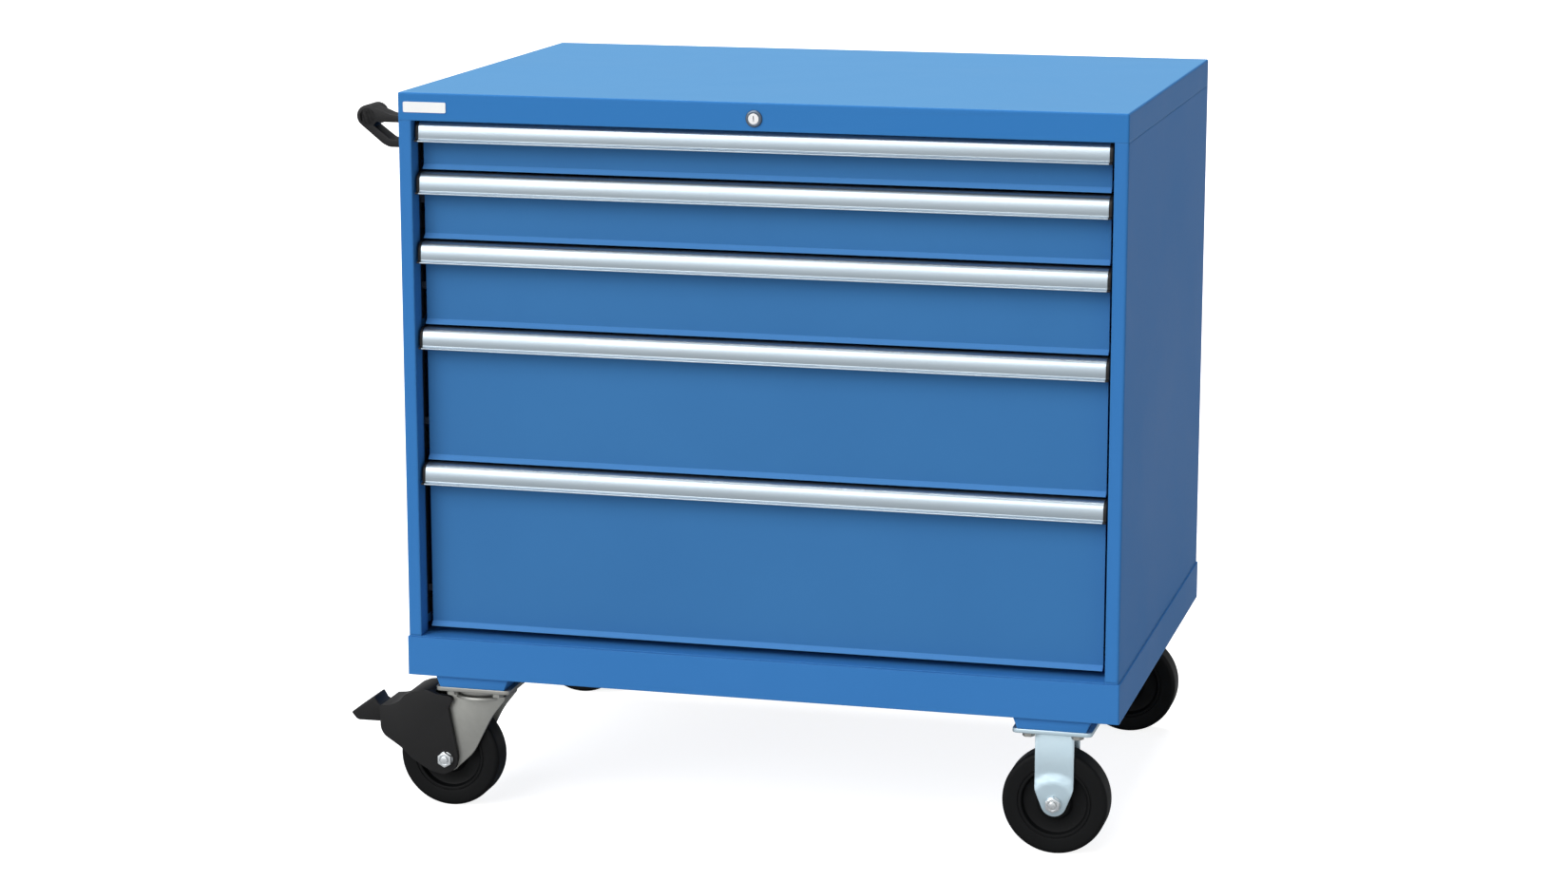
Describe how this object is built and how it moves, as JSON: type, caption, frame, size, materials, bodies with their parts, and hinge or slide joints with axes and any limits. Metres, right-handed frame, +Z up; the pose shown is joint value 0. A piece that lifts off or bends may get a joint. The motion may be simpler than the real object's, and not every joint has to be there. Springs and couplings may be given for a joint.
{
  "type": "mobile drawer cabinet",
  "caption": "Mobile steel drawer cabinet with full-width drawers, aluminium pull handles, a central lock, two push handles and braked swivel casters.",
  "frame": {"origin": "on the floor, midway between the brake pedals' tips and the right side, and midway between front and back", "axes": "+Z up; the drawers open towards -Y; the push handles and the brake pedals are at -X"},
  "size_m": [1.1606, 0.7555, 1.064],
  "materials": {
    "cabinet_blue": "satin powder coat",
    "drawer_blue": "satin powder coat",
    "handle_aluminium": "clear anodised",
    "black_plastic": "fine grain",
    "zinc_steel": "zinc plated",
    "lock_chrome": "polished",
    "white_plate": "gloss",
    "wheel_black": "hard, semi-gloss"
  },
  "bodies": {
    "cabinet": {"top_cover": "cabinet_blue", "left_side_panel": "cabinet_blue", "right_side_panel": "cabinet_blue", "back_panel": "cabinet_blue", "floor_panel": "cabinet_blue", "base_frame": "cabinet_blue", "caster_channels": "cabinet_blue", "cabinet_runners": "zinc_steel", "lock_body": "lock_chrome", "name_plate": "white_plate", "push_handles": "black_plastic", "rigid_fork_front": "zinc_steel", "rigid_fork_rear": "zinc_steel", "rigid_axles": "zinc_steel", "swivel_plate_front": "zinc_steel", "swivel_plate_rear": "zinc_steel", "caster_bolts": "zinc_steel"},
    "lock_plug": {"lock_plug": "lock_chrome"},
    "lock_bar": {"lock_bar": "zinc_steel"},
    "lock_column": {"lock_column": "zinc_steel"},
    "drawer_1": {"drawer_1_box": "drawer_blue", "drawer_1_front": "drawer_blue", "drawer_1_handle": "handle_aluminium", "drawer_1_end_caps": "black_plastic"},
    "drawer_1_carriages": {"drawer_1_carriages": "zinc_steel"},
    "drawer_2": {"drawer_2_box": "drawer_blue", "drawer_2_front": "drawer_blue", "drawer_2_handle": "handle_aluminium", "drawer_2_end_caps": "black_plastic"},
    "drawer_2_carriages": {"drawer_2_carriages": "zinc_steel"},
    "drawer_3": {"drawer_3_box": "drawer_blue", "drawer_3_front": "drawer_blue", "drawer_3_handle": "handle_aluminium", "drawer_3_end_caps": "black_plastic"},
    "drawer_3_carriages": {"drawer_3_carriages": "zinc_steel"},
    "drawer_4": {"drawer_4_box": "drawer_blue", "drawer_4_front": "drawer_blue", "drawer_4_handle": "handle_aluminium", "drawer_4_end_caps": "black_plastic"},
    "drawer_4_carriages": {"drawer_4_carriages": "zinc_steel"},
    "drawer_5": {"drawer_5_box": "drawer_blue", "drawer_5_front": "drawer_blue", "drawer_5_handle": "handle_aluminium", "drawer_5_end_caps": "black_plastic"},
    "drawer_5_carriages": {"drawer_5_carriages": "zinc_steel"},
    "swivel_fork_front": {"swivel_fork_front": "zinc_steel", "brake_cover_front": "black_plastic", "swivel_axle_front": "zinc_steel"},
    "swivel_wheel_front": {"swivel_wheel_front": "wheel_black"},
    "brake_pedal_front": {"brake_pedal_front": "black_plastic"},
    "rigid_wheel_front": {"rigid_wheel_front": "wheel_black"},
    "swivel_fork_rear": {"swivel_fork_rear": "zinc_steel", "brake_cover_rear": "black_plastic", "swivel_axle_rear": "zinc_steel"},
    "swivel_wheel_rear": {"swivel_wheel_rear": "wheel_black"},
    "brake_pedal_rear": {"brake_pedal_rear": "black_plastic"},
    "rigid_wheel_rear": {"rigid_wheel_rear": "wheel_black"}
  },
  "joints": [
    {"name": "drawer_1_slide", "type": "slide", "parent": "cabinet", "child": "drawer_1", "axis": [0, -1, 0], "range_m": [0, 0.62]},
    {"name": "drawer_1_carriage_slide", "type": "slide", "parent": "cabinet", "child": "drawer_1_carriages", "axis": [0, -1, 0], "range_m": [0, 0.31]},
    {"name": "drawer_2_slide", "type": "slide", "parent": "cabinet", "child": "drawer_2", "axis": [0, -1, 0], "range_m": [0, 0.62]},
    {"name": "drawer_2_carriage_slide", "type": "slide", "parent": "cabinet", "child": "drawer_2_carriages", "axis": [0, -1, 0], "range_m": [0, 0.31]},
    {"name": "drawer_3_slide", "type": "slide", "parent": "cabinet", "child": "drawer_3", "axis": [0, -1, 0], "range_m": [0, 0.62]},
    {"name": "drawer_3_carriage_slide", "type": "slide", "parent": "cabinet", "child": "drawer_3_carriages", "axis": [0, -1, 0], "range_m": [0, 0.31]},
    {"name": "drawer_4_slide", "type": "slide", "parent": "cabinet", "child": "drawer_4", "axis": [0, -1, 0], "range_m": [0, 0.62]},
    {"name": "drawer_4_carriage_slide", "type": "slide", "parent": "cabinet", "child": "drawer_4_carriages", "axis": [0, -1, 0], "range_m": [0, 0.31]},
    {"name": "drawer_5_slide", "type": "slide", "parent": "cabinet", "child": "drawer_5", "axis": [0, -1, 0], "range_m": [0, 0.62]},
    {"name": "drawer_5_carriage_slide", "type": "slide", "parent": "cabinet", "child": "drawer_5_carriages", "axis": [0, -1, 0], "range_m": [0, 0.31]},
    {"name": "lock_turn", "type": "hinge", "parent": "cabinet", "child": "lock_plug", "pos_m": [0.05325, -0.375, 1.0415], "axis": [0, 1, 0], "range_deg": [0, 90]},
    {"name": "lock_bar_slide", "type": "slide", "parent": "cabinet", "child": "lock_bar", "axis": [1, 0, 0], "range_m": [0, 0.015]},
    {"name": "lock_column_slide", "type": "slide", "parent": "cabinet", "child": "lock_column", "axis": [0, 0, -1], "range_m": [0, 0.015]},
    {"name": "swivel_front_turn", "type": "hinge", "parent": "cabinet", "child": "swivel_fork_front", "pos_m": [-0.37725, -0.319, 0.17], "axis": [0, 0, 1], "continuous": true},
    {"name": "swivel_front_wheel_roll", "type": "hinge", "parent": "swivel_fork_front", "child": "swivel_wheel_front", "pos_m": [-0.42525, -0.319, 0.0762], "axis": [0, 1, 0], "continuous": true},
    {"name": "brake_front_press", "type": "hinge", "parent": "swivel_fork_front", "child": "brake_pedal_front", "pos_m": [-0.50825, -0.319, 0.1372], "axis": [0, -1, 0], "range_deg": [0, 14]},
    {"name": "rigid_front_wheel_roll", "type": "hinge", "parent": "cabinet", "child": "rigid_wheel_front", "pos_m": [0.48375, -0.319, 0.0762], "axis": [0, 1, 0], "continuous": true},
    {"name": "swivel_rear_turn", "type": "hinge", "parent": "cabinet", "child": "swivel_fork_rear", "pos_m": [-0.37725, 0.319, 0.17], "axis": [0, 0, 1], "continuous": true},
    {"name": "swivel_rear_wheel_roll", "type": "hinge", "parent": "swivel_fork_rear", "child": "swivel_wheel_rear", "pos_m": [-0.42525, 0.319, 0.0762], "axis": [0, 1, 0], "continuous": true},
    {"name": "brake_rear_press", "type": "hinge", "parent": "swivel_fork_rear", "child": "brake_pedal_rear", "pos_m": [-0.50825, 0.319, 0.1372], "axis": [0, -1, 0], "range_deg": [0, 14]},
    {"name": "rigid_rear_wheel_roll", "type": "hinge", "parent": "cabinet", "child": "rigid_wheel_rear", "pos_m": [0.48375, 0.319, 0.0762], "axis": [0, 1, 0], "continuous": true}
  ],
  "couplings": [
    {"joint": "drawer_1_carriage_slide", "follows": "drawer_1_slide", "ratio": 0.5},
    {"joint": "drawer_2_carriage_slide", "follows": "drawer_2_slide", "ratio": 0.5},
    {"joint": "drawer_3_carriage_slide", "follows": "drawer_3_slide", "ratio": 0.5},
    {"joint": "drawer_4_carriage_slide", "follows": "drawer_4_slide", "ratio": 0.5},
    {"joint": "drawer_5_carriage_slide", "follows": "drawer_5_slide", "ratio": 0.5},
    {"joint": "lock_turn", "follows": "lock_column_slide", "rad_per_m": 104.72},
    {"joint": "lock_bar_slide", "follows": "lock_column_slide", "ratio": 1}
  ]
}
